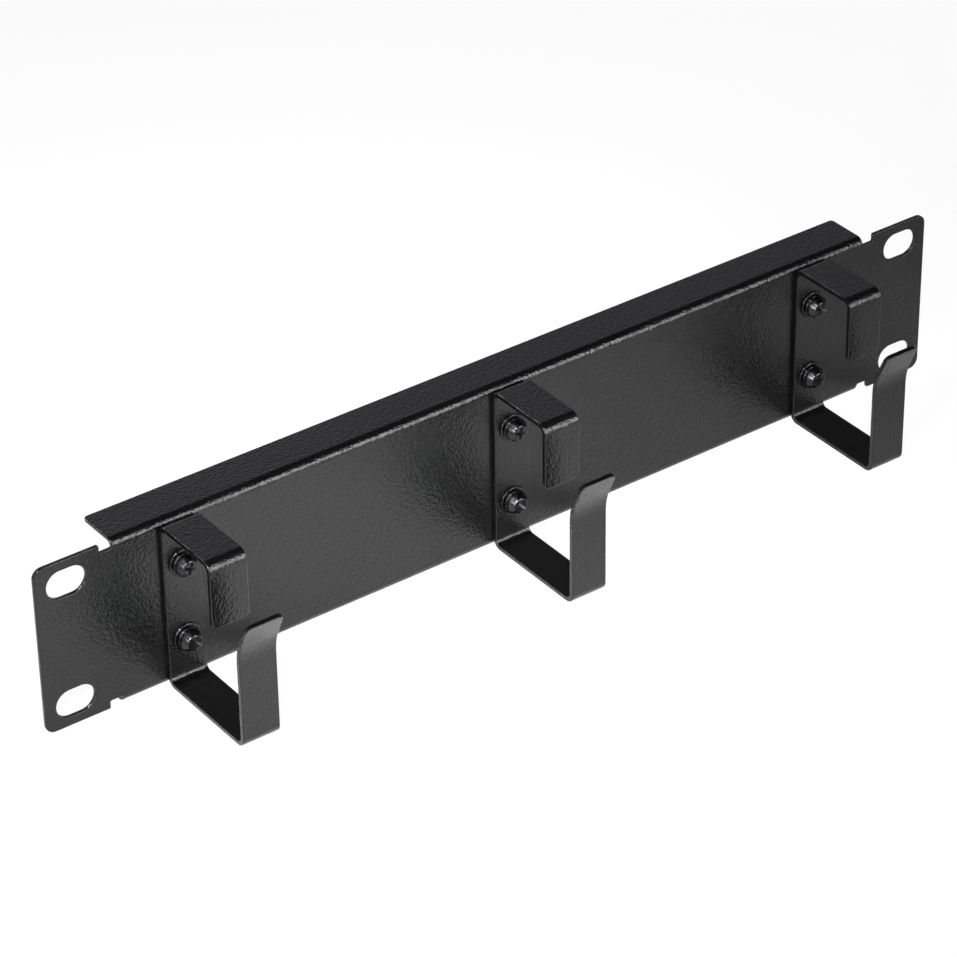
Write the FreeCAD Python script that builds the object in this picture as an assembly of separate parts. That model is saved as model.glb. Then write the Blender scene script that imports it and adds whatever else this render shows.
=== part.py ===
"""Cable management panel for a 10-inch rack, one rack unit high.

A folded steel panel carries three open cable brackets. Each bracket is one bent
strip of steel, held by two pan-head screws with a spring washer and a flat washer
under the head and a hex nut behind the panel.

Millimetres. X runs along the panel, +Y points to the rack behind it, +Z is up.
The origin is the middle of the four mounting slots, on the rear face of the ears.
"""
import FreeCAD, Part
import math
import os

from FreeCAD import Vector

# Panel: one sheet, its top and bottom edges folded to the rear between the ears
panel_length = 254.0
panel_height = 43.66
sheet = 1.0
ear_length = 19.9
ear_corner_radius = 2.5
relief_length = 3.2
flange_depth = 11.8
flange_corner_radius = 1.0
panel_inside_radius = 1.0

# Mounting slots, two in each ear, placed from the end and the edge of the panel
slot_length = 10.0
slot_width = 7.0
slot_from_end = 8.0
slot_from_edge = 5.955

# Cable brackets: bent from strip, open between the flap and the flared upright
bracket_from_end = 36.6
strip_width = 9.7
strip = 1.2
bracket_inside_radius = 1.3
hood_below_fold = 0.43
arm_below_fold = 0.07
hood_depth = 20.4
flap_length = 17.0
arm_depth = 30.5
upright_height = 34.0
flare_angle = 24.0
flare_reach = 3.8
flare_inside_radius = 14.0
end_corner_radius = 1.5

# Fasteners: M3, two on each bracket
screw_spacing = 20.0
thread_diameter = 3.0
screw_length = 8.0
hole_clearance = 0.2
nut_clearance = 0.03
head_overhang = 1.3
head_edge_height = 0.7
head_crown_height = 1.5
head_crown_inset = 1.2
recess_diameter = 3.1
recess_slot = 0.75
recess_depth = 1.5
recess_end_diameter = 1.4
recess_end_slot = 0.54
flat_washer_rim = 1.8
flat_washer_thickness = 0.5
spring_washer_rim = 1.2
spring_washer_thickness = 0.8
spring_washer_gap = 0.5
spring_washer_slant = 25.0
nut_wall = 1.25
nut_height = 2.4

# Places worked out from the sizes above
panel_front = -sheet
fold_top = panel_height / 2
channel_end = panel_length / 2 - ear_length
relief_end = channel_end + relief_length
relief_floor = fold_top - panel_inside_radius - sheet
slot_x = panel_length / 2 - slot_from_end
slot_z = panel_height / 2 - slot_from_edge
bracket_x = panel_length / 2 - bracket_from_end
bracket_top = fold_top - hood_below_fold
bracket_bottom = -fold_top - arm_below_fold
strip_front = panel_front - strip
washer_front = strip_front - flat_washer_thickness
head_seat = washer_front - spring_washer_thickness
hole_radius = thread_diameter / 2 + hole_clearance
bracket_places = {"left": -bracket_x, "center": 0.0, "right": bracket_x}
screw_places = {"upper": screw_spacing / 2, "lower": -screw_spacing / 2}

PLUS_Y = Vector(0, 1, 0)
TOLERANCE = 1e-4


def offset_corners(points, distance):
    """Corners of the line that runs a distance to the left of an open line of points."""
    directions = []
    for first, second in zip(points, points[1:]):
        length = math.hypot(second[0] - first[0], second[1] - first[1])
        directions.append(((second[0] - first[0]) / length, (second[1] - first[1]) / length))
    moved = []
    for i, point in enumerate(points):
        before = directions[max(i - 1, 0)]
        after = directions[min(i, len(directions) - 1)]
        normal = (-before[1] - after[1], before[0] + after[0])
        scale = distance * 2 / (normal[0] ** 2 + normal[1] ** 2)
        moved.append((point[0] + normal[0] * scale, point[1] + normal[1] * scale))
    return moved


def rounded_line(points, radii):
    """Edges of an open line in the YZ plane, with an arc of its own radius at each inner corner."""
    edges = []
    start = Vector(0, *points[0])
    for i, radius in enumerate(radii, 1):
        corner = Vector(0, *points[i])
        to_last = (Vector(0, *points[i - 1]) - corner).normalize()
        to_next = (Vector(0, *points[i + 1]) - corner).normalize()
        half = to_last.getAngle(to_next) / 2
        middle = (to_last + to_next).normalize()
        first = corner + to_last * (radius / math.tan(half))
        last = corner + to_next * (radius / math.tan(half))
        crest = corner + middle * (radius / math.sin(half) - radius)
        edges.append(Part.LineSegment(start, first).toShape())
        edges.append(Part.Arc(first, crest, last).toShape())
        start = last
    edges.append(Part.LineSegment(start, Vector(0, *points[-1])).toShape())
    return edges


def bent_strip(points, inside_radii, thickness, width):
    """A sheet bent along a line of (y, z) points: its thickness lies to the line's left, its width along X."""
    left_points = offset_corners(points, thickness)
    right_radii = []
    left_radii = []
    for before, corner, after, radius in zip(points, points[1:], points[2:], inside_radii):
        turn = (corner[0] - before[0]) * (after[1] - corner[1]) - (corner[1] - before[1]) * (after[0] - corner[0])
        right_radii.append(radius + thickness if turn > 0 else radius)
        left_radii.append(radius if turn > 0 else radius + thickness)
    edges = rounded_line(points, right_radii) + rounded_line(left_points, left_radii)
    for i in (0, -1):
        edges.append(Part.LineSegment(Vector(0, *points[i]), Vector(0, *left_points[i])).toShape())
    section = Part.Face(Part.Wire(Part.__sortEdges__(edges)))
    section.translate(Vector(-width / 2, 0, 0))
    return section.extrude(Vector(width, 0, 0))


def round_corners(solid, radius, along, length, near):
    """Rounds the short edges along one direction that lie within a box around the end of a piece."""
    edges = []
    for edge in solid.Edges:
        ends = edge.Vertexes
        if len(ends) != 2 or abs(edge.Length - length) > TOLERANCE:
            continue
        run = (ends[1].Point - ends[0].Point).normalize()
        if abs(abs(run.dot(along)) - 1) < TOLERANCE and near.isInside(edge.CenterOfMass):
            edges.append(edge)
    return solid.makeFillet(radius, edges)


def rod(radius, y_from, y_to, x=0.0, z=0.0):
    """A round rod along Y."""
    return Part.makeCylinder(radius, y_to - y_from, Vector(x, y_from, z), PLUS_Y)


def slot_cutter(x, z):
    """An obround hole through the sheet, long along X."""
    straight = slot_length - slot_width
    radius = slot_width / 2
    cutter = Part.makeBox(straight, 3 * sheet, slot_width, Vector(x - straight / 2, -2 * sheet, z - radius))
    for side in (-1, 1):
        cutter = cutter.fuse(rod(radius, -2 * sheet, sheet, x + side * straight / 2, z))
    return cutter


def make_ear(side):
    """The flat end of the sheet, from the end of the folds to the end of the panel."""
    outline = [
        (channel_end, -relief_floor),
        (relief_end, -relief_floor),
        (relief_end, -panel_height / 2),
        (panel_length / 2, -panel_height / 2),
        (panel_length / 2, panel_height / 2),
        (relief_end, panel_height / 2),
        (relief_end, relief_floor),
        (channel_end, relief_floor),
    ]
    corners = [Vector(side * x, panel_front, z) for x, z in outline]
    ear = Part.Face(Part.makePolygon(corners + corners[:1])).extrude(Vector(0, sheet, 0))
    outer_end = FreeCAD.BoundBox(
        side * panel_length / 2 - 1, panel_front - 1, -panel_height,
        side * panel_length / 2 + 1, 1, panel_height)
    return round_corners(ear, ear_corner_radius, PLUS_Y, sheet, outer_end)


def make_panel():
    """Front sheet with folded flanges, ears, relief notches, slots and screw holes."""
    rear = panel_front + flange_depth
    fold_line = [(rear, fold_top), (panel_front, fold_top), (panel_front, -fold_top), (rear, -fold_top)]
    channel = bent_strip(fold_line, [panel_inside_radius] * 2, sheet, 2 * channel_end)
    rear_edges = FreeCAD.BoundBox(
        -panel_length, rear - 1, -panel_height, panel_length, rear + 1, panel_height)
    channel = round_corners(channel, flange_corner_radius, Vector(0, 0, 1), sheet, rear_edges)
    panel = channel.fuse([make_ear(-1), make_ear(1)]).removeSplitter()
    for x in (-slot_x, slot_x):
        for z in (-slot_z, slot_z):
            panel = panel.cut(slot_cutter(x, z))
    for x in bracket_places.values():
        for z in screw_places.values():
            panel = panel.cut(rod(hole_radius, -2 * sheet, sheet, x, z))
    return panel


def bracket_line():
    """The strip's outer face: from the flare's tip down the upright, round the arm and back, to the flap's end."""
    upright = panel_front - arm_depth
    flap = panel_front - hood_depth
    tip_z = bracket_bottom + upright_height
    flare_z = tip_z - flare_reach / math.tan(math.radians(flare_angle))
    return [
        (upright - flare_reach, tip_z),
        (upright, flare_z),
        (upright, bracket_bottom),
        (panel_front, bracket_bottom),
        (panel_front, bracket_top),
        (flap, bracket_top),
        (flap, bracket_top - flap_length),
    ]


def make_bracket(x):
    """One bracket: a bent strip with rounded ends and two screw holes."""
    line = bracket_line()
    bracket = bent_strip(line, [flare_inside_radius] + [bracket_inside_radius] * 4, strip, strip_width)
    angle = math.radians(flare_angle)
    across = {0: Vector(0, math.cos(angle), math.sin(angle)), -1: PLUS_Y}
    for end, direction in across.items():
        y, z = line[end]
        near = FreeCAD.BoundBox(
            -strip_width, y - 2 * strip, z - 2 * strip, strip_width, y + 2 * strip, z + 2 * strip)
        bracket = round_corners(bracket, end_corner_radius, direction, strip, near)
    for z in screw_places.values():
        bracket = bracket.cut(rod(hole_radius, strip_front - 1, panel_front + 1, 0, z))
    bracket.translate(Vector(x, 0, 0))
    return bracket


def cross_recess(top):
    """The tapered cross in a screw head: two crossing wedges that narrow towards the bottom."""
    wedges = []
    for angle in (0, 90):
        wedge = Part.makeWedge(
            -recess_diameter / 2, 0, -recess_slot / 2, -recess_end_slot / 2, -recess_end_diameter / 2,
            recess_diameter / 2, recess_depth, recess_slot / 2, recess_end_slot / 2, recess_end_diameter / 2)
        wedge.translate(Vector(0, top, 0))
        wedge.rotate(Vector(0, 0, 0), PLUS_Y, angle)
        wedges.append(wedge)
    return wedges[0].fuse(wedges[1])


def make_screw(x, z):
    """Pan-head screw: head with a sloping crown and a cross recess, plain rod for the thread."""
    radius = thread_diameter / 2
    head_radius = radius + head_overhang
    edge = head_seat - head_edge_height
    crown = edge - head_crown_height
    tip = head_seat + screw_length
    outline = [
        Vector(0, tip, 0),
        Vector(radius, tip, 0),
        Vector(radius, head_seat, 0),
        Vector(head_radius, head_seat, 0),
        Vector(head_radius, edge, 0),
        Vector(head_radius - head_crown_inset, crown, 0),
        Vector(0, crown, 0),
    ]
    screw = Part.Face(Part.makePolygon(outline + outline[:1])).revolve(Vector(0, 0, 0), PLUS_Y, 360)
    screw = screw.cut(cross_recess(crown))
    screw.translate(Vector(x, 0, z))
    return screw


def make_flat_washer(x, z):
    """Flat washer against the bracket."""
    washer = rod(hole_radius + flat_washer_rim, washer_front, strip_front)
    washer = washer.cut(rod(hole_radius, washer_front - 1, strip_front + 1))
    washer.translate(Vector(x, 0, z))
    return washer


def make_spring_washer(x, z):
    """Spring washer pressed flat under the head, with its slanted gap at the top."""
    radius = hole_radius + spring_washer_rim
    washer = rod(radius, head_seat, washer_front)
    washer = washer.cut(rod(hole_radius, head_seat - 1, washer_front + 1))
    reach = 2 * radius
    gap = Part.makeBox(
        spring_washer_gap, reach, reach,
        Vector(-spring_washer_gap / 2, (head_seat + washer_front - reach) / 2, 0))
    gap.rotate(Vector(0, (head_seat + washer_front) / 2, 0), Vector(0, 0, 1), spring_washer_slant)
    washer = washer.cut(gap)
    washer.translate(Vector(x, 0, z))
    return washer


def make_nut(x, z):
    """Hex nut behind the panel."""
    flat_radius = thread_diameter / 2 + nut_wall
    corner_radius = flat_radius / math.cos(math.radians(30))
    corners = []
    for i in range(6):
        angle = math.radians(60 * i)
        corners.append(Vector(corner_radius * math.cos(angle), 0, corner_radius * math.sin(angle)))
    nut = Part.Face(Part.makePolygon(corners + corners[:1])).extrude(Vector(0, nut_height, 0))
    nut = nut.cut(rod(thread_diameter / 2 + nut_clearance, -1, nut_height + 1))
    nut.translate(Vector(x, 0, z))
    return nut


def save(name, shape):
    """Writes one piece as a single valid solid."""
    if len(shape.Solids) != 1 or not shape.isValid():
        raise ValueError(name + " is not one valid solid")
    shape.Solids[0].exportStep("parts/" + name + ".step")


os.makedirs("parts", exist_ok=True)
save("panel", make_panel())
for place, x in bracket_places.items():
    save("bracket_" + place, make_bracket(x))
    for level, z in screw_places.items():
        save("flat_washer_" + place + "_" + level, make_flat_washer(x, z))
        save("spring_washer_" + place + "_" + level, make_spring_washer(x, z))
        save("screw_" + place + "_" + level, make_screw(x, z))
        save("nut_" + place + "_" + level, make_nut(x, z))
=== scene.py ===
"""Looks of a cable management panel for a 10-inch rack.

Black powder-coated sheet steel with a fine orange peel, black screws, washers and nuts,
on a white floor in soft studio light. Lengths in this script are millimetres, in the
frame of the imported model: X along the panel, +Y to the rear, +Z up.
"""
import bmesh
import bpy
import math

from mathutils import Matrix, Vector
from mathutils.geometry import tessellate_polygon


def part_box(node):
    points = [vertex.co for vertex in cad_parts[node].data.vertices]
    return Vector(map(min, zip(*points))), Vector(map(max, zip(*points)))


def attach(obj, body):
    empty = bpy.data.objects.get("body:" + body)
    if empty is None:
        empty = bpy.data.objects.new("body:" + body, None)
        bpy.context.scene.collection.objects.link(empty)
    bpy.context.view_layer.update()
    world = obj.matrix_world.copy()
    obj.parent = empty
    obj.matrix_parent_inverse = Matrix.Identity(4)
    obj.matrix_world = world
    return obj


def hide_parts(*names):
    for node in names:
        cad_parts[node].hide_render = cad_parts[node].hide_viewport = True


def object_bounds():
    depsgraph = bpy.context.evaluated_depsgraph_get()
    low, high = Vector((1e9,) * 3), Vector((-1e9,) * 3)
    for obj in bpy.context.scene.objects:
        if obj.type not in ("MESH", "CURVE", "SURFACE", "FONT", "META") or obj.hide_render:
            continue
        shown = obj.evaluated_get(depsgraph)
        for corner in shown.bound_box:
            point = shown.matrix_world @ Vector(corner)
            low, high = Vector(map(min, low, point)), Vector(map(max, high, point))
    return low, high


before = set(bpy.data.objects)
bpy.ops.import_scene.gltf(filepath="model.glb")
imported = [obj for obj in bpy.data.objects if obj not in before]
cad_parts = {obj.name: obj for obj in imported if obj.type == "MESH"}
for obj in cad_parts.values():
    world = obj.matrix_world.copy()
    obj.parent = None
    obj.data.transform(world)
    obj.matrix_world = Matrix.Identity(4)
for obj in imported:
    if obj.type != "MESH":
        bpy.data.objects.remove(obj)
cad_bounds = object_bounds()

MM = 0.001

# Camera, solved from the straight edges of the panel in the photograph
CAMERA_PLACE = (-471.52, -642.244, 518.616)
CAMERA_YAW = 35.8097
CAMERA_PITCH = 33.3267
CAMERA_ROLL = -0.9009
CAMERA_LENS = 153.92
CAMERA_SENSOR = 36.0

# Panel
SHEET = 1.0
EAR_LENGTH = 19.9
EAR_CORNER_RADIUS = 2.5
RELIEF_LENGTH = 3.2
RELIEF_CORNER_RADIUS = 0.4
FLANGE_CORNER_RADIUS = 1.0
PANEL_INSIDE_RADIUS = 1.0
SLOT_LENGTH = 10.0
SLOT_WIDTH = 7.0
SLOT_FROM_END = 8.0
SLOT_FROM_EDGE = 5.955

# Brackets
STRIP = 1.2
BRACKET_INSIDE_RADIUS = 1.3
HOOD_DEPTH = 20.4
FLAP_LENGTH = 17.0
BRACKET_TIP_Z = 12.1
FLARE_ANGLE = 24.0
FLARE_REACH = 3.8
FLARE_INSIDE_RADIUS = 14.0
END_CORNER_RADIUS = 1.5

# Edges broken by deburring and rounded over by the coat
SHEET_EDGE_RADIUS = 0.22
EDGE_STEPS = 4
BEND_STEPS = 12
FEWEST_BEND_STEPS = 4
ARC_STEP = math.radians(9)
FEWEST_ARC_STEPS = 3

# Fasteners
SCREW_SPACING = 20.0
HOLE_RADIUS = 1.7
THREAD_RADIUS = 1.5
THREAD_DEPTH = 0.3
THREAD_PITCH = 0.5
THREAD_TAPER = 0.5
HEAD_RADIUS = 2.8
HEAD_EDGE_HEIGHT = 0.7
HEAD_FACE_RADIUS = 1.9
HEAD_FACE_ROUNDING = 0.5
HEAD_FLANK_ROUNDING = 0.5
HEAD_UNDERCUT = 0.12
RECESS_DIAMETER = 3.1
RECESS_SLOT = 0.72
RECESS_DEPTH = 1.5
RECESS_END_DIAMETER = 1.2
RECESS_END_SLOT = 0.5
RECESS_SHALLOWEST = 0.3
RECESS_FLOOR_FACING = 0.9
RECESS_LEAD = 0.5
SPRING_GAP = 0.5
SPRING_SLANT = 25.0
NUT_FLAT_RADIUS = 2.75
NUT_FACE_SHARE = 0.97
NUT_CHAMFER_ANGLE = 30.0
NUT_BORE_RADIUS = 1.5
NUT_BORE_CHAMFER = 0.2
HEX_TURN = math.radians(60)
SMALL_EDGE_RADIUS = 0.2
SMALL_EDGE_STEPS = 3
ROUND_STEPS = 48
THREAD_TURN_STEPS = 36
THREAD_LEVEL_STEPS = 8
NUT_STEPS = 72
WASHER_SHARP_ANGLE = math.radians(50)
SCREW_SHARP_ANGLE = math.radians(35)
NUT_SHARP_ANGLE = math.radians(20)

# Closeness at which places along a sheet, points and the axis of a turned profile count as one
SAME_PLACE = 1e-9
SAME_CUT = 1e-5
SAME_POINT = 1e-4
ON_AXIS = 1e-6

# Powder coat: flowing peel, fine grain, and blotches of gloss and colour
COAT_BLACK = (0.0012, 0.0012, 0.0014)
COAT_BLOTCH_COLOUR = (0.8, 1.2)
COAT_ROUGHNESS = 0.21
COAT_BLOTCH_ROUGHNESS = (-0.03, 0.04)
COAT_BLOTCH_RANGE = (0.3, 0.7)
COAT_IOR = 1.38
PEEL_SIZE = 0.70
PEEL_HEIGHT = 0.132
PEEL_ROUGHNESS = 0.45
GRAIN_SIZE = 0.35
GRAIN_HEIGHT = 0.03
BLOTCH_SIZE = 14.0
COAT_DETAIL = 2.0

# Blackened fasteners: scuffs, and painted shade in the recess, whose walls get a darker, duller colour
SCUFF_SIZE = 0.6
SCUFF_DETAIL = 3.0
SCUFF_HEIGHT = 0.02
FASTENER_DARK = (0.016, 0.016, 0.017, 1)
FASTENER_LIGHT = (0.05, 0.05, 0.052, 1)
FASTENER_ROUGHNESS = (0.16, 0.36)
# Painted shade: the recess walls are coloured darker than the rest of the fastener, and made duller
RECESS_SHADE_COLOUR = (0.025, 0.025, 0.026, 1)
RECESS_WALL_ROUGHNESS = 0.55

# Floor, and how much of it the camera sees as plain white
FLOOR_GAP = 0.02
FLOOR_REACH = 4000.0
FLOOR_COLOUR = (0.6, 0.6, 0.6, 1)
FLOOR_WHITE_SHARE = 0.93
WHITE = (1, 1, 1, 1)

# World: bright from the horizon up to where the ramp starts, dark above its end, dimmer to the
# right and to the front. Heights and directions are parts of a unit vector.
SKY_BRIGHT = (0.86, 0.865, 0.955, 1)
SKY_DARK = (0.03, 0.03, 0.035, 1)
SKY_RAMP = (0.585, 0.635)
SKY_RIGHT = (0.40, 0.60)
SKY_RIGHT_LEVELS = (1.0, 0.40)
SKY_FRONT = (-0.2, 0.3)
SKY_FRONT_LEVELS = (0.3, 1.0)

# Lamps, in metres, degrees and watts
KEY_PLACE = (0.68, -1.475, 0.49)
KEY_SIZE = (0.70, 0.95)
KEY_POWER = 33
LEFT_PLACE = (-1.35, -0.80, 0.47)
LEFT_SIZE = (0.36, 0.36)
LEFT_POWER = 28
FRONT_POOL_PLACE = (-0.62, -0.78, 0.82)
FRONT_POOL_TARGET = (-0.052, -0.048, -0.02)
FRONT_POOL_ANGLE = 12.5
FRONT_POOL_POWER = 290
REAR_POOL_PLACE = (-0.45, 0.85, 0.85)
REAR_POOL_TARGET = (-0.02, 0.105, -0.02)
REAR_POOL_ANGLE = 9.5
REAR_POOL_POWER = 200
POOL_BLEND = 0.6
POOL_LAMP_RADIUS = 0.12

PLACES = ("left", "center", "right")
LEVELS = {"upper": 1, "lower": -1}

# Degrees by which each screw's recess is turned
RECESS_TURNS = {
    ("left", "upper"): 20,
    ("left", "lower"): 35,
    ("center", "upper"): 10,
    ("center", "lower"): 50,
    ("right", "upper"): 28,
    ("right", "lower"): 5,
}


def box_mm(node):
    """Lowest and highest corner of a CAD node in millimetres."""
    low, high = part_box(node)
    return low / MM, high / MM


def make_object(name, mesh, slot, *nodes):
    """Puts a mesh into the scene as the piece that stands for CAD nodes."""
    piece = bpy.data.objects.new(name, mesh)
    bpy.context.scene.collection.objects.link(piece)
    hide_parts(*nodes)
    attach(piece, "root")
    return piece


def bend_path(line, inside_radii, thickness):
    """Runs and arcs of a bent sheet along a line of (y, z) points. The sheet lies to the line's left.

    Each piece holds where it starts along the middle of the sheet, its length, the place and
    heading of the line at its start, its turn, and its radius on the line's own face.
    """
    headings = []
    for first, second in zip(line, line[1:]):
        headings.append(math.atan2(second[1] - first[1], second[0] - first[0]))
    turns = []
    for before, after in zip(headings, headings[1:]):
        turns.append((after - before + math.pi) % (2 * math.pi) - math.pi)
    face_radii = []
    for turn, radius in zip(turns, inside_radii):
        face_radii.append(radius + thickness if turn > 0 else radius)
    tangents = [radius * math.tan(abs(turn) / 2) for radius, turn in zip(face_radii, turns)]

    pieces = []
    start = 0.0
    for i, heading in enumerate(headings):
        before = tangents[i - 1] if i > 0 else 0.0
        after = tangents[i] if i < len(turns) else 0.0
        along = Vector((math.cos(heading), math.sin(heading)))
        length = (Vector(line[i + 1]) - Vector(line[i])).length - before - after
        place = Vector(line[i]) + along * before
        pieces.append({"start": start, "length": length, "place": place, "heading": heading, "turn": 0.0})
        start += length
        if i < len(turns):
            middle_radius = inside_radii[i] + thickness / 2
            pieces.append({
                "start": start, "length": middle_radius * abs(turns[i]), "place": place + along * length,
                "heading": heading, "turn": turns[i], "radius": face_radii[i]})
            start += pieces[-1]["length"]
    return pieces


def path_length(path):
    """Length of the flat blank along the middle of the sheet."""
    return path[-1]["start"] + path[-1]["length"]


def place_on_path(path, s, depth):
    """The (y, z) place of a point of the blank, and the heading of the sheet there."""
    piece = path[0]
    for candidate in path:
        if candidate["start"] <= s + SAME_PLACE:
            piece = candidate
    share = (s - piece["start"]) / piece["length"]
    heading = piece["heading"] + piece["turn"] * share
    left = Vector((-math.sin(heading), math.cos(heading)))
    if piece["turn"] == 0:
        along = Vector((math.cos(heading), math.sin(heading)))
        return piece["place"] + along * (s - piece["start"]) + left * depth, heading
    first_left = Vector((-math.sin(piece["heading"]), math.cos(piece["heading"])))
    side = 1 if piece["turn"] > 0 else -1
    centre = piece["place"] + first_left * (side * piece["radius"])
    return centre - left * (side * piece["radius"] - depth), heading


def bend_cuts(path):
    """Places along the blank where its faces are cut so that they can follow the bends."""
    cuts = []
    for piece in path:
        if piece["turn"] != 0:
            steps = max(FEWEST_BEND_STEPS, round(BEND_STEPS * abs(piece["turn"]) / (math.pi / 2)))
            cuts += [piece["start"] + piece["length"] * i / steps for i in range(steps + 1)]
    return cuts


def rounded_outline(corners):
    """Points and outward normals of a closed outline, counter-clockwise (x, v, radius) corners."""
    points = []
    normals = []
    for i, (x, v, radius) in enumerate(corners):
        here = Vector((x, v))
        last = Vector(corners[i - 1][:2])
        following = Vector(corners[(i + 1) % len(corners)][:2])
        incoming = (here - last).normalized()
        outgoing = (following - here).normalized()
        turn = math.atan2(incoming.x * outgoing.y - incoming.y * outgoing.x, incoming.dot(outgoing))
        side = 1 if turn > 0 else -1
        tangent = radius * math.tan(abs(turn) / 2)
        start_normal = Vector((incoming.y, -incoming.x))
        centre = here - incoming * tangent - start_normal * (side * radius)
        steps = max(FEWEST_ARC_STEPS, math.ceil(abs(turn) / ARC_STEP))
        for k in range(steps + 1):
            normal = start_normal.copy()
            normal.rotate(Matrix.Rotation(turn * k / steps, 2))
            points.append(centre + normal * (side * radius))
            normals.append(normal)
    return points, normals


def round_hole(x, v, radius, stretch=0.0):
    """Points and normals of a round or obround hole, clockwise, with normals into the hole."""
    points = []
    normals = []
    steps = ROUND_STEPS // 2
    for end in (1, -1):
        for k in range(steps + 1):
            angle = math.pi / 2 * end - math.pi * k / steps
            normal = Vector((math.cos(angle), math.sin(angle)))
            points.append(Vector((x + end * stretch / 2, v)) + normal * radius)
            normals.append(-normal)
    if stretch == 0:
        points = points[:steps] + points[steps + 1:-1]
        normals = normals[:steps] + normals[steps + 1:-1]
    return points, normals


def edge_rings(thickness, edge):
    """Inset, depth and tilt of each ring of points round a sheet's edge, from one face to the other."""
    rings = []
    for k in range(EDGE_STEPS + 1):
        angle = math.pi / 2 * k / EDGE_STEPS
        rings.append((edge * (1 - math.sin(angle)), edge * (1 - math.cos(angle)), angle))
    for inset, depth, angle in rings[::-1]:
        rings.append((inset, thickness - depth, math.pi - angle))
    return rings


def sheet_mesh(name, outline, holes, thickness, path, to_blank, stays_flat=None):
    """Mesh of a sheet cut to an outline with holes, its edges rounded, then bent along a path.

    to_blank turns a point's v into its place along the blank, and stays_flat says which
    points (x, v) the bends don't reach.
    """
    mesh_data = bmesh.new()
    flat_normal = mesh_data.verts.layers.float_vector.new("flat_normal")
    rings = edge_rings(thickness, SHEET_EDGE_RADIUS)
    first_loops = []
    last_loops = []
    for points, normals in [outline] + holes:
        previous = None
        for inset, depth, angle in rings:
            ring = []
            for point, normal in zip(points, normals):
                place = point - normal * inset
                vert = mesh_data.verts.new((place.x, place.y, depth))
                vert[flat_normal] = Vector((
                    normal.x * math.sin(angle), normal.y * math.sin(angle), -math.cos(angle)))
                ring.append(vert)
            if previous:
                for i in range(len(ring)):
                    j = (i + 1) % len(ring)
                    mesh_data.faces.new((previous[i], ring[i], ring[j], previous[j]))
            else:
                first_loops.append(ring)
            previous = ring
        last_loops.append(previous)
    for loops in (first_loops, last_loops):
        verts = [vert for loop in loops for vert in loop]
        for triangle in tessellate_polygon([[vert.co for vert in loop] for loop in loops]):
            corners = [verts[i] for i in triangle]
            if len(set(corners)) == 3 and not mesh_data.faces.get(corners):
                mesh_data.faces.new(corners)

    total = path_length(path)
    for s in bend_cuts(path):
        geometry = mesh_data.verts[:] + mesh_data.edges[:] + mesh_data.faces[:]
        bmesh.ops.bisect_plane(
            mesh_data, geom=geometry, dist=SAME_CUT, plane_co=(0, total / 2 - s, 0), plane_no=(0, 1, 0))

    bent_normals = []
    for vert in mesh_data.verts:
        x, v, depth = vert.co
        normal = vert[flat_normal].normalized()
        s = to_blank(v)
        if stays_flat and stays_flat(x, v):
            place, heading = place_on_path(path, to_blank(0), depth)
            place = place + Vector((0, v))
        else:
            place, heading = place_on_path(path, s, depth)
        along = Vector((0, math.cos(heading), math.sin(heading)))
        left = Vector((0, -math.sin(heading), math.cos(heading)))
        vert.co = Vector((x, place.x, place.y)) * MM
        bent_normals.append(Vector((normal.x, 0, 0)) - along * normal.y + left * normal.z)
    bmesh.ops.recalc_face_normals(mesh_data, faces=mesh_data.faces)
    if mesh_data.calc_volume(signed=True) < 0:
        bmesh.ops.reverse_faces(mesh_data, faces=mesh_data.faces)
    mesh = bpy.data.meshes.new(name)
    mesh_data.to_mesh(mesh)
    mesh_data.free()
    mesh.shade_smooth()
    mesh.normals_split_custom_set_from_vertices(bent_normals)
    return mesh


def make_panel(material):
    """The folded front panel with its ears, relief notches, slots and screw holes."""
    low, high = box_mm("panel")
    half_length = high.x
    half_height = high.z
    relief_floor = half_height - PANEL_INSIDE_RADIUS - SHEET
    channel_end = half_length - EAR_LENGTH
    relief_end = channel_end + RELIEF_LENGTH
    line = [(high.y, half_height), (low.y, half_height), (low.y, -half_height), (high.y, -half_height)]
    path = bend_path(line, [PANEL_INSIDE_RADIUS] * 2, SHEET)
    flange_edge = path_length(path) / 2

    quarter = [
        (half_length, half_height, EAR_CORNER_RADIUS),
        (relief_end, half_height, RELIEF_CORNER_RADIUS),
        (relief_end, relief_floor, RELIEF_CORNER_RADIUS),
        (channel_end, relief_floor, RELIEF_CORNER_RADIUS),
        (channel_end, flange_edge, FLANGE_CORNER_RADIUS),
    ]
    mirrored = [(-x, v, radius) for x, v, radius in reversed(quarter)]
    upper = quarter + mirrored
    corners = upper + [(-x, -v, radius) for x, v, radius in upper]

    slot_x = half_length - SLOT_FROM_END
    slot_v = half_height - SLOT_FROM_EDGE
    holes = []
    for x in (-slot_x, slot_x):
        for v in (-slot_v, slot_v):
            holes.append(round_hole(x, v, SLOT_WIDTH / 2, SLOT_LENGTH - SLOT_WIDTH))
    for place in PLACES:
        strip_low, strip_high = box_mm("bracket_" + place)
        for side in LEVELS.values():
            holes.append(round_hole((strip_low.x + strip_high.x) / 2, side * SCREW_SPACING / 2, HOLE_RADIUS))

    middle_of_relief = (channel_end + relief_end) / 2
    mesh = sheet_mesh(
        "panel_sheet", rounded_outline(corners), holes, SHEET, path,
        to_blank=lambda v: flange_edge - v,
        stays_flat=lambda x, v: abs(x) > middle_of_relief)
    mesh.materials.append(material)
    make_object("panel_sheet", mesh, "panel_paint", "panel")


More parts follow.
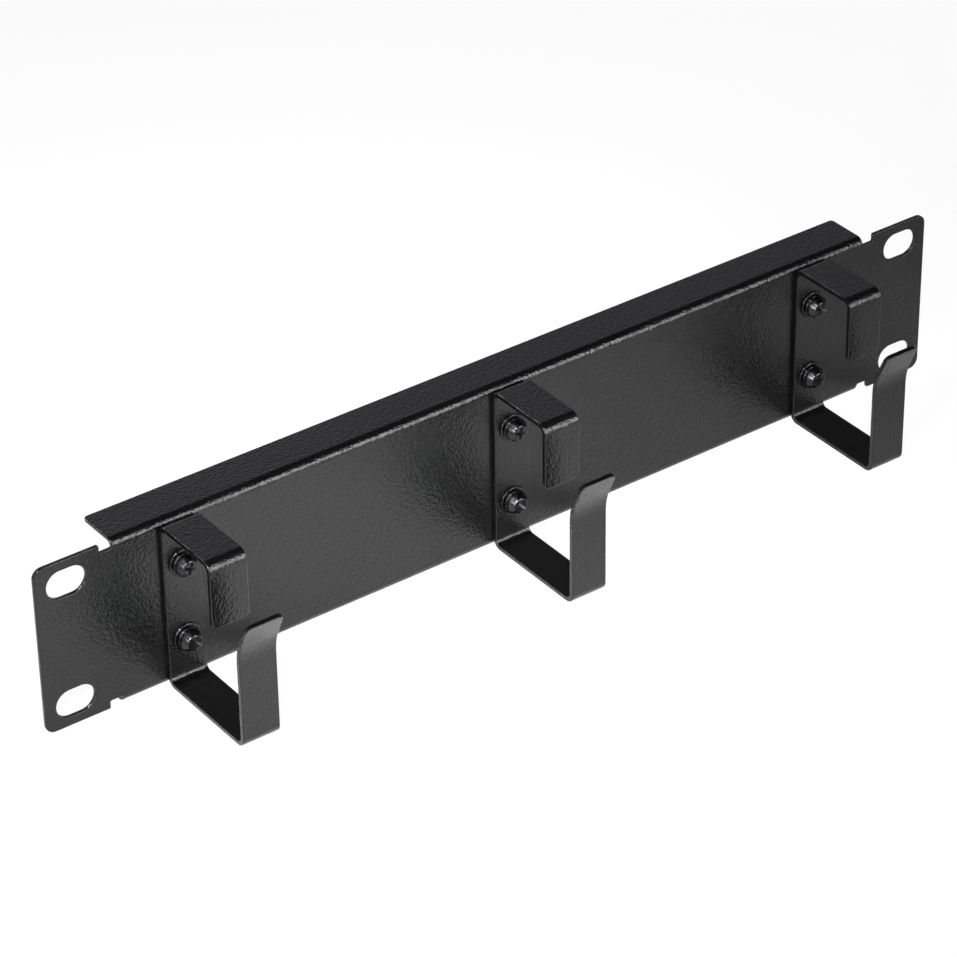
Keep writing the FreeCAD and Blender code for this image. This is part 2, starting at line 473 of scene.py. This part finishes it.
def make_bracket(place, material):
    """One cable bracket: hood and flap above, base on the panel, arm and flared upright below."""
    low, high = box_mm("bracket_" + place)
    upright = low.y + FLARE_REACH
    flap = high.y - HOOD_DEPTH
    flare_z = BRACKET_TIP_Z - FLARE_REACH / math.tan(math.radians(FLARE_ANGLE))
    line = [
        (low.y, BRACKET_TIP_Z),
        (upright, flare_z),
        (upright, low.z),
        (high.y, low.z),
        (high.y, high.z),
        (flap, high.z),
        (flap, high.z - FLAP_LENGTH),
    ]
    path = bend_path(line, [FLARE_INSIDE_RADIUS] + [BRACKET_INSIDE_RADIUS] * 4, STRIP)
    half = path_length(path) / 2
    middle_x = (low.x + high.x) / 2
    outline = rounded_outline([
        (high.x, half, END_CORNER_RADIUS),
        (low.x, half, END_CORNER_RADIUS),
        (low.x, -half, END_CORNER_RADIUS),
        (high.x, -half, END_CORNER_RADIUS),
    ])
    # Runs and bends alternate, and the base is the fourth run
    base = path[6]
    holes = []
    for side in LEVELS.values():
        z = side * SCREW_SPACING / 2
        s = base["start"] + z - base["place"].y
        holes.append(round_hole(middle_x, half - s, HOLE_RADIUS))
    mesh = sheet_mesh(
        "bracket_strip_" + place, outline, holes, STRIP, path, to_blank=lambda v: half - v)
    mesh.materials.append(material)
    make_object("bracket_strip_" + place, mesh, "bracket_paint", "bracket_" + place)


def round_vert(mesh_data, radius, y, angle):
    """Adds a point at a radius and an angle round the Y axis."""
    return mesh_data.verts.new((radius * math.cos(angle), y, radius * math.sin(angle)))


def join_rings(mesh_data, rings):
    """Joins each ring of points to the next one with four-sided faces."""
    for first, second in zip(rings, rings[1:]):
        for i in range(len(first)):
            j = (i + 1) % len(first)
            mesh_data.faces.new((first[i], first[j], second[j], second[i]))


def cap_ends(mesh_data, rings):
    """Closes the first and the last ring with one face each."""
    mesh_data.faces.new(rings[0])
    mesh_data.faces.new(rings[-1])


def finished_mesh(name, mesh_data):
    """Mesh with its faces turned outwards."""
    bmesh.ops.recalc_face_normals(mesh_data, faces=mesh_data.faces)
    mesh = bpy.data.meshes.new(name)
    mesh_data.to_mesh(mesh)
    mesh_data.free()
    return mesh


def profile_mesh(name, profile):
    """Mesh of a closed profile of (radius, y) points turned about the Y axis."""
    mesh_data = bmesh.new()
    rings = []
    for radius, y in profile:
        if radius < ON_AXIS:
            rings.append([mesh_data.verts.new((0, y, 0))])
            continue
        rings.append([
            round_vert(mesh_data, radius, y, 2 * math.pi * k / ROUND_STEPS) for k in range(ROUND_STEPS)])
    for first, second in zip(rings, rings[1:] + rings[:1]):
        for k in range(ROUND_STEPS):
            j = (k + 1) % ROUND_STEPS
            corners = (
                first[k % len(first)],
                second[k % len(second)],
                second[j % len(second)],
                first[j % len(first)],
            )
            kept = []
            for vert in corners:
                if vert not in kept:
                    kept.append(vert)
            if len(kept) > 2:
                mesh_data.faces.new(kept)
    return finished_mesh(name, mesh_data)


def scaled(mesh, x, z):
    """Moves a fastener's mesh to its screw's axis and turns millimetres into metres."""
    mesh.transform(Matrix.Translation((x * MM, 0, z * MM)) @ Matrix.Scale(MM, 4))
    return mesh


def rounded_ring_profile(inner, outer, front, rear, edge):
    """Profile of a washer, a rectangle with rounded corners."""
    profile = []
    corners = (
        (inner + edge, front + edge, 180, 270),
        (outer - edge, front + edge, 270, 360),
        (outer - edge, rear - edge, 0, 90),
        (inner + edge, rear - edge, 90, 180),
    )
    for radius, y, start, end in corners:
        for k in range(SMALL_EDGE_STEPS + 1):
            angle = math.radians(start + (end - start) * k / SMALL_EDGE_STEPS)
            profile.append((radius + edge * math.cos(angle), y + edge * math.sin(angle)))
    return profile


def make_flat_washer(name, node, material):
    """Flat washer with rounded edges."""
    low, high = box_mm(node)
    outer = (high.x - low.x) / 2
    profile = rounded_ring_profile(HOLE_RADIUS, outer, low.y, high.y, SMALL_EDGE_RADIUS)
    mesh = profile_mesh(name, profile)
    mesh.materials.append(material)
    mesh.shade_smooth()
    scaled(mesh, (low.x + high.x) / 2, (low.z + high.z) / 2)
    make_object(name, mesh, "fastener_black", node)


def make_spring_washer(name, node, material):
    """Split spring washer: its section swept round the screw, with a slanted gap at the top."""
    low, high = box_mm(node)
    outer = (high.x - low.x) / 2
    middle_y = (low.y + high.y) / 2
    middle_radius = (HOLE_RADIUS + outer) / 2
    section = rounded_ring_profile(HOLE_RADIUS, outer, low.y, high.y, SMALL_EDGE_RADIUS)
    mesh_data = bmesh.new()
    rings = []
    for k in range(ROUND_STEPS + 1):
        ring = []
        for radius, y in section:
            slant = (y - middle_y) * math.tan(math.radians(SPRING_SLANT)) / middle_radius
            half_gap = SPRING_GAP / 2 / middle_radius
            angle = math.pi / 2 + slant + half_gap + (2 * math.pi - 2 * half_gap) * k / ROUND_STEPS
            ring.append(round_vert(mesh_data, radius, y, angle))
        rings.append(ring)
    join_rings(mesh_data, rings)
    cap_ends(mesh_data, rings)
    mesh = finished_mesh(name, mesh_data)
    mesh.materials.append(material)
    mesh.shade_smooth()
    mesh.set_sharp_from_angle(angle=WASHER_SHARP_ANGLE)
    scaled(mesh, (low.x + high.x) / 2, (low.z + high.z) / 2)
    make_object(name, mesh, "fastener_black", node)


def head_profile(crown, seat):
    """Profile of a pan head, a flat face on a sloping flank and a low edge, closed along the axis."""
    points, normals = rounded_outline([
        (0.0, crown, 0.0),
        (HEAD_FACE_RADIUS, crown, HEAD_FACE_ROUNDING),
        (HEAD_RADIUS, seat - HEAD_EDGE_HEIGHT, HEAD_FLANK_ROUNDING),
        (HEAD_RADIUS, seat, HEAD_UNDERCUT),
        (0.0, seat, 0.0),
    ])
    profile = []
    for point in points:
        if not profile or (point - profile[-1]).length > SAME_POINT:
            profile.append(point)
    return profile


def recess_cutter():
    """Tapered cross that is cut into a screw head, its mouth at y = 0."""
    mesh_data = bmesh.new()
    sections = (
        (-RECESS_LEAD, RECESS_DIAMETER / 2, RECESS_SLOT / 2),
        (0.0, RECESS_DIAMETER / 2, RECESS_SLOT / 2),
        (RECESS_DEPTH, RECESS_END_DIAMETER / 2, RECESS_END_SLOT / 2),
    )
    rings = []
    for y, reach, half in sections:
        quarter = [(reach, half), (half, half), (half, reach)]
        ring = []
        for turn in range(4):
            for x, z in quarter:
                for _ in range(turn):
                    x, z = -z, x
                ring.append(mesh_data.verts.new((x, y, z)))
        rings.append(ring)
    join_rings(mesh_data, rings)
    cap_ends(mesh_data, rings)
    return finished_mesh("recess_cutter", mesh_data)


def applied_boolean(mesh, cutter, operation):
    """The mesh left by a boolean of two meshes."""
    body = bpy.data.objects.new("boolean_body", mesh)
    tool = bpy.data.objects.new("boolean_tool", cutter)
    for piece in (body, tool):
        bpy.context.scene.collection.objects.link(piece)
    modifier = body.modifiers.new("cut", "BOOLEAN")
    modifier.operation = operation
    modifier.solver = "EXACT"
    modifier.object = tool
    bpy.context.view_layer.update()
    result = bpy.data.meshes.new_from_object(body.evaluated_get(bpy.context.evaluated_depsgraph_get()))
    for piece in (body, tool):
        bpy.data.objects.remove(piece)
    return result


def mark_recess_shade(head, crown):
    """Marks the faces of the recess that get painted shade, a darker and duller colour."""
    recess_shade = head.attributes.new("recess_shade", "FLOAT", "FACE")
    for face in head.polygons:
        middle = face.center
        radius = math.hypot(middle.x, middle.z)
        inside = radius < RECESS_DIAMETER / 2 and middle.y > crown + RECESS_SHALLOWEST
        recess_shade.data[face.index].value = 1.0 if inside and abs(face.normal.y) < RECESS_FLOOR_FACING else 0.0


def threaded_shank(seat, thread_start, tip):
    """Shank of a screw, plain up to thread_start and threaded from there to its tip."""
    mesh_data = bmesh.new()
    levels = [seat, thread_start]
    count = math.ceil((tip - thread_start) / THREAD_PITCH * THREAD_LEVEL_STEPS)
    levels += [thread_start + (tip - thread_start) * (i + 1) / count for i in range(count)]
    rings = []
    for y in levels:
        ring = []
        for k in range(THREAD_TURN_STEPS):
            share = k / THREAD_TURN_STEPS
            radius = THREAD_RADIUS
            if y > thread_start:
                phase = ((y - thread_start) / THREAD_PITCH - share) % 1.0
                radius -= THREAD_DEPTH * (1 - abs(2 * phase - 1))
                taper = max(0.0, THREAD_TAPER - (tip - y))
                radius = min(radius, THREAD_RADIUS - taper)
            ring.append(round_vert(mesh_data, radius, y, 2 * math.pi * share))
        rings.append(ring)
    join_rings(mesh_data, rings)
    cap_ends(mesh_data, rings)
    return finished_mesh("threaded_shank", mesh_data)


def make_screw(name, node, recess_turn, material):
    """Pan-head screw with a cross recess, and a thread where it comes out of its nut."""
    low, high = box_mm(node)
    washer_low, washer_high = box_mm(node.replace("screw", "spring_washer"))
    nut_rear = box_mm(node.replace("screw", "nut"))[1].y
    seat = washer_low.y
    head = profile_mesh("screw_head", head_profile(low.y, seat))
    cutter = recess_cutter()
    cutter.transform(Matrix.Rotation(math.radians(recess_turn), 4, "Y"))
    cutter.transform(Matrix.Translation((0, low.y, 0)))
    head = applied_boolean(head, cutter, "DIFFERENCE")
    # Painted shade: marks the recess walls for a darker, duller colour
    mark_recess_shade(head, low.y)
    shank = threaded_shank(seat, nut_rear - THREAD_PITCH, high.y)
    mesh_data = bmesh.new()
    mesh_data.from_mesh(head)
    mesh_data.from_mesh(shank)
    mesh = bpy.data.meshes.new(name)
    mesh_data.to_mesh(mesh)
    mesh_data.free()
    mesh.materials.clear()
    mesh.materials.append(material)
    mesh.shade_smooth()
    mesh.set_sharp_from_angle(angle=SCREW_SHARP_ANGLE)
    scaled(mesh, (washer_low.x + washer_high.x) / 2, (washer_low.z + washer_high.z) / 2)
    make_object(name, mesh, "fastener_black", node)


def make_nut(name, node, material):
    """Hex nut: both faces chamfered, its bore countersunk."""
    low, high = box_mm(node)
    slope = math.tan(math.radians(NUT_CHAMFER_ANGLE))
    face_radius = NUT_FLAT_RADIUS * NUT_FACE_SHARE
    chamfer_radius = NUT_BORE_RADIUS + NUT_BORE_CHAMFER
    mesh_data = bmesh.new()
    columns = []
    for k in range(NUT_STEPS):
        angle = 2 * math.pi * k / NUT_STEPS
        from_flat = angle % HEX_TURN - HEX_TURN / 2
        reach = NUT_FLAT_RADIUS / math.cos(from_flat)
        drop = (reach - face_radius) * slope
        profile = (
            (NUT_BORE_RADIUS, low.y + NUT_BORE_CHAMFER),
            (chamfer_radius, low.y),
            (face_radius, low.y),
            (reach, low.y + drop),
            (reach, high.y - drop),
            (face_radius, high.y),
            (chamfer_radius, high.y),
            (NUT_BORE_RADIUS, high.y - NUT_BORE_CHAMFER),
        )
        columns.append([round_vert(mesh_data, radius, y, angle) for radius, y in profile])
    rings = list(zip(*columns))
    join_rings(mesh_data, rings + rings[:1])
    mesh = finished_mesh(name, mesh_data)
    mesh.materials.append(material)
    mesh.shade_smooth()
    mesh.set_sharp_from_angle(angle=NUT_SHARP_ANGLE)
    scaled(mesh, (low.x + high.x) / 2, (low.z + high.z) / 2)
    make_object(name, mesh, "fastener_black", node)


def new_material(name):
    """An empty node material with a Principled shader and an output."""
    material = bpy.data.materials.new(name)
    material.use_nodes = True
    nodes = material.node_tree.nodes
    nodes.clear()
    shader = nodes.new("ShaderNodeBsdfPrincipled")
    output = nodes.new("ShaderNodeOutputMaterial")
    material.node_tree.links.new(shader.outputs["BSDF"], output.inputs["Surface"])
    return material, shader


def noise(nodes, link, size, detail):
    """Noise in the object's own space, with features of a size in millimetres."""
    place = nodes.new("ShaderNodeTexCoord")
    texture = nodes.new("ShaderNodeTexNoise")
    texture.inputs["Scale"].default_value = 1 / (size * MM)
    texture.inputs["Detail"].default_value = detail
    link(place.outputs["Object"], texture.inputs["Vector"])
    return texture


def bump(nodes, link, texture, height):
    """Bump of a height in millimetres from a noise."""
    node = nodes.new("ShaderNodeBump")
    node.inputs["Distance"].default_value = height * MM
    link(texture.outputs["Fac"], node.inputs["Height"])
    return node


def map_range(nodes, link, value, taken, given):
    """Value of a socket mapped from one range to another, and held at its ends."""
    node = nodes.new("ShaderNodeMapRange")
    node.inputs["From Min"].default_value = taken[0]
    node.inputs["From Max"].default_value = taken[1]
    node.inputs["To Min"].default_value = given[0]
    node.inputs["To Max"].default_value = given[1]
    link(value, node.inputs["Value"])
    return node.outputs["Result"]


def mix_colour(nodes, link, factor, first, second):
    """Mix of two colours by a socket. The first colour may be a socket as well."""
    node = nodes.new("ShaderNodeMix")
    node.data_type = "RGBA"
    link(factor, node.inputs["Factor"])
    if isinstance(first, bpy.types.NodeSocket):
        link(first, node.inputs["A"])
    else:
        node.inputs["A"].default_value = first
    node.inputs["B"].default_value = second
    return node.outputs["Result"]


def powder_coat(name):
    """Black powder coat: flowing orange peel under a millimetre across, with a finer grain on it."""
    material, shader = new_material(name)
    nodes = material.node_tree.nodes
    link = material.node_tree.links.new

    peel = noise(nodes, link, PEEL_SIZE, COAT_DETAIL)
    peel.inputs["Roughness"].default_value = PEEL_ROUGHNESS
    grain = noise(nodes, link, GRAIN_SIZE, COAT_DETAIL)
    peel_bump = bump(nodes, link, peel, PEEL_HEIGHT)
    grain_bump = bump(nodes, link, grain, GRAIN_HEIGHT)
    link(peel_bump.outputs["Normal"], grain_bump.inputs["Normal"])
    link(grain_bump.outputs["Normal"], shader.inputs["Normal"])

    blotch = noise(nodes, link, BLOTCH_SIZE, COAT_DETAIL)
    roughness = [COAT_ROUGHNESS + change for change in COAT_BLOTCH_ROUGHNESS]
    gloss = map_range(nodes, link, blotch.outputs["Fac"], COAT_BLOTCH_RANGE, roughness)
    link(gloss, shader.inputs["Roughness"])

    dark, light = [(*[part * share for part in COAT_BLACK], 1) for share in COAT_BLOTCH_COLOUR]
    colour = mix_colour(nodes, link, blotch.outputs["Fac"], dark, light)
    link(colour, shader.inputs["Base Color"])
    shader.inputs["IOR"].default_value = COAT_IOR
    return material


def black_fastener():
    """Blackened steel, scuffed, with painted shade in the recess: a darker, duller colour on its walls."""
    material, shader = new_material("fastener_black")
    nodes = material.node_tree.nodes
    link = material.node_tree.links.new
    scuff = noise(nodes, link, SCUFF_SIZE, SCUFF_DETAIL)
    recess_shade = nodes.new("ShaderNodeAttribute")
    recess_shade.attribute_name = "recess_shade"

    gloss = map_range(nodes, link, scuff.outputs["Fac"], (0, 1), FASTENER_ROUGHNESS)
    recess_gloss = nodes.new("ShaderNodeMix")
    recess_gloss.inputs["B"].default_value = RECESS_WALL_ROUGHNESS
    link(recess_shade.outputs["Fac"], recess_gloss.inputs["Factor"])
    link(gloss, recess_gloss.inputs["A"])
    link(recess_gloss.outputs["Result"], shader.inputs["Roughness"])

    black = mix_colour(nodes, link, scuff.outputs["Fac"], FASTENER_DARK, FASTENER_LIGHT)
    # Painted shade: the marked recess walls take a darker colour
    colour = mix_colour(nodes, link, recess_shade.outputs["Fac"], black, RECESS_SHADE_COLOUR)
    link(colour, shader.inputs["Base Color"])

    link(bump(nodes, link, scuff, SCUFF_HEIGHT).outputs["Normal"], shader.inputs["Normal"])
    shader.inputs["Metallic"].default_value = 1.0
    return material


def white_seen(nodes, link):
    """Value that is one for rays from the camera and through clear things, and otherwise nothing."""
    path = nodes.new("ShaderNodeLightPath")
    seen = nodes.new("ShaderNodeMath")
    seen.operation = "MAXIMUM"
    link(path.outputs["Is Camera Ray"], seen.inputs[0])
    link(path.outputs["Is Transmission Ray"], seen.inputs[1])
    return seen.outputs["Value"]


def make_floor(level):
    """White floor under the panel."""
    mesh = bpy.data.meshes.new("floor")
    low, high = -FLOOR_REACH * MM, FLOOR_REACH * MM
    mesh.from_pydata([(low, low, 0), (high, low, 0), (high, high, 0), (low, high, 0)], [], [(0, 1, 2, 3)])
    floor = bpy.data.objects.new("floor", mesh)
    floor.location.z = level * MM
    bpy.context.scene.collection.objects.link(floor)
    material = bpy.data.materials.new("floor_white")
    material.use_nodes = True
    nodes = material.node_tree.nodes
    link = material.node_tree.links.new
    nodes.clear()
    output = nodes.new("ShaderNodeOutputMaterial")
    paint = nodes.new("ShaderNodeBsdfDiffuse")
    paint.inputs["Color"].default_value = FLOOR_COLOUR
    glow = nodes.new("ShaderNodeEmission")
    glow.inputs["Color"].default_value = WHITE
    glow.inputs["Strength"].default_value = 1.0
    share = nodes.new("ShaderNodeMath")
    share.operation = "MULTIPLY"
    share.inputs[1].default_value = FLOOR_WHITE_SHARE
    link(white_seen(nodes, link), share.inputs[0])
    mix = nodes.new("ShaderNodeMixShader")
    link(share.outputs["Value"], mix.inputs["Fac"])
    link(paint.outputs["BSDF"], mix.inputs[1])
    link(glow.outputs["Emission"], mix.inputs[2])
    link(mix.outputs["Shader"], output.inputs["Surface"])
    mesh.materials.append(material)


def make_world():
    """Soft light from low all round, and white where the camera looks past the floor."""
    world = bpy.data.worlds.new("studio")
    bpy.context.scene.world = world
    world.use_nodes = True
    nodes = world.node_tree.nodes
    link = world.node_tree.links.new
    nodes.clear()
    output = nodes.new("ShaderNodeOutputWorld")
    background = nodes.new("ShaderNodeBackground")
    direction = nodes.new("ShaderNodeTexCoord")
    parts = nodes.new("ShaderNodeSeparateXYZ")
    link(direction.outputs["Generated"], parts.inputs["Vector"])
    ramp = nodes.new("ShaderNodeValToRGB")
    for element, position, colour in zip(ramp.color_ramp.elements, SKY_RAMP, (SKY_BRIGHT, SKY_DARK)):
        element.position = position
        element.color = colour
    link(parts.outputs["Z"], ramp.inputs["Fac"])
    both = nodes.new("ShaderNodeMath")
    both.operation = "MULTIPLY"
    link(map_range(nodes, link, parts.outputs["X"], SKY_RIGHT, SKY_RIGHT_LEVELS), both.inputs[0])
    link(map_range(nodes, link, parts.outputs["Y"], SKY_FRONT, SKY_FRONT_LEVELS), both.inputs[1])
    dimmed = nodes.new("ShaderNodeVectorMath")
    dimmed.operation = "SCALE"
    link(ramp.outputs["Color"], dimmed.inputs[0])
    link(both.outputs["Value"], dimmed.inputs["Scale"])
    path = nodes.new("ShaderNodeLightPath")
    seen = mix_colour(nodes, link, path.outputs["Is Camera Ray"], dimmed.outputs["Vector"], WHITE)
    link(seen, background.inputs["Color"])
    link(background.outputs["Background"], output.inputs["Surface"])


def hang_lamp(name, light, place, target):
    """Puts a lamp in its place, turned towards its target."""
    lamp = bpy.data.objects.new(name, light)
    lamp.location = place
    aim = Vector(target) - Vector(place)
    lamp.rotation_euler = aim.to_track_quat("-Z", "Y").to_euler()
    bpy.context.scene.collection.objects.link(lamp)


def add_softbox(name, place, size, power):
    """A rectangular softbox turned towards the middle of the panel."""
    light = bpy.data.lights.new(name, "AREA")
    light.shape = "RECTANGLE"
    light.size, light.size_y = size
    light.energy = power
    hang_lamp(name, light, place, (0, 0, 0))


def add_pool(name, place, target, angle, power):
    """A soft-edged spot that brightens the floor beside the panel."""
    light = bpy.data.lights.new(name, "SPOT")
    light.spot_size = math.radians(angle)
    light.spot_blend = POOL_BLEND
    light.shadow_soft_size = POOL_LAMP_RADIUS
    light.energy = power
    hang_lamp(name, light, place, target)


def make_camera():
    """Camera at the photograph's viewing angle."""
    yaw = math.radians(CAMERA_YAW)
    pitch = math.radians(CAMERA_PITCH)
    roll = math.radians(CAMERA_ROLL)
    forward = Vector((math.sin(yaw) * math.cos(pitch), math.cos(yaw) * math.cos(pitch), -math.sin(pitch)))
    level_right = Vector((math.cos(yaw), -math.sin(yaw), 0))
    level_up = level_right.cross(forward)
    right = level_right * math.cos(roll) + level_up * math.sin(roll)
    up = level_up * math.cos(roll) - level_right * math.sin(roll)
    lens = bpy.data.cameras.new("camera")
    lens.lens = CAMERA_LENS
    lens.sensor_width = CAMERA_SENSOR
    lens.clip_start = 0.01
    camera = bpy.data.objects.new("camera", lens)
    turn = Matrix((right, up, -forward)).transposed()
    camera.matrix_world = Matrix.Translation(Vector(CAMERA_PLACE) * MM) @ turn.to_4x4()
    bpy.context.scene.collection.objects.link(camera)
    bpy.context.scene.camera = camera


make_camera()
panel_paint = powder_coat("panel_paint")
bracket_paint = powder_coat("bracket_paint")
fastener = black_fastener()
make_panel(panel_paint)
for place in PLACES:
    make_bracket(place, bracket_paint)
    for level in LEVELS:
        tail = place + "_" + level
        make_flat_washer("washer_" + tail, "flat_washer_" + tail, fastener)
        make_spring_washer("split_washer_" + tail, "spring_washer_" + tail, fastener)
        make_screw("pan_screw_" + tail, "screw_" + tail, RECESS_TURNS[place, level], fastener)
        make_nut("hex_nut_" + tail, "nut_" + tail, fastener)
make_floor(cad_bounds[0][2] / MM - FLOOR_GAP)
make_world()
add_softbox("key_softbox", KEY_PLACE, KEY_SIZE, KEY_POWER)
add_softbox("left_softbox", LEFT_PLACE, LEFT_SIZE, LEFT_POWER)
add_pool("front_pool", FRONT_POOL_PLACE, FRONT_POOL_TARGET, FRONT_POOL_ANGLE, FRONT_POOL_POWER)
add_pool("rear_pool", REAR_POOL_PLACE, REAR_POOL_TARGET, REAR_POOL_ANGLE, REAR_POOL_POWER)

bpy.context.scene.view_settings.view_transform = "Standard"
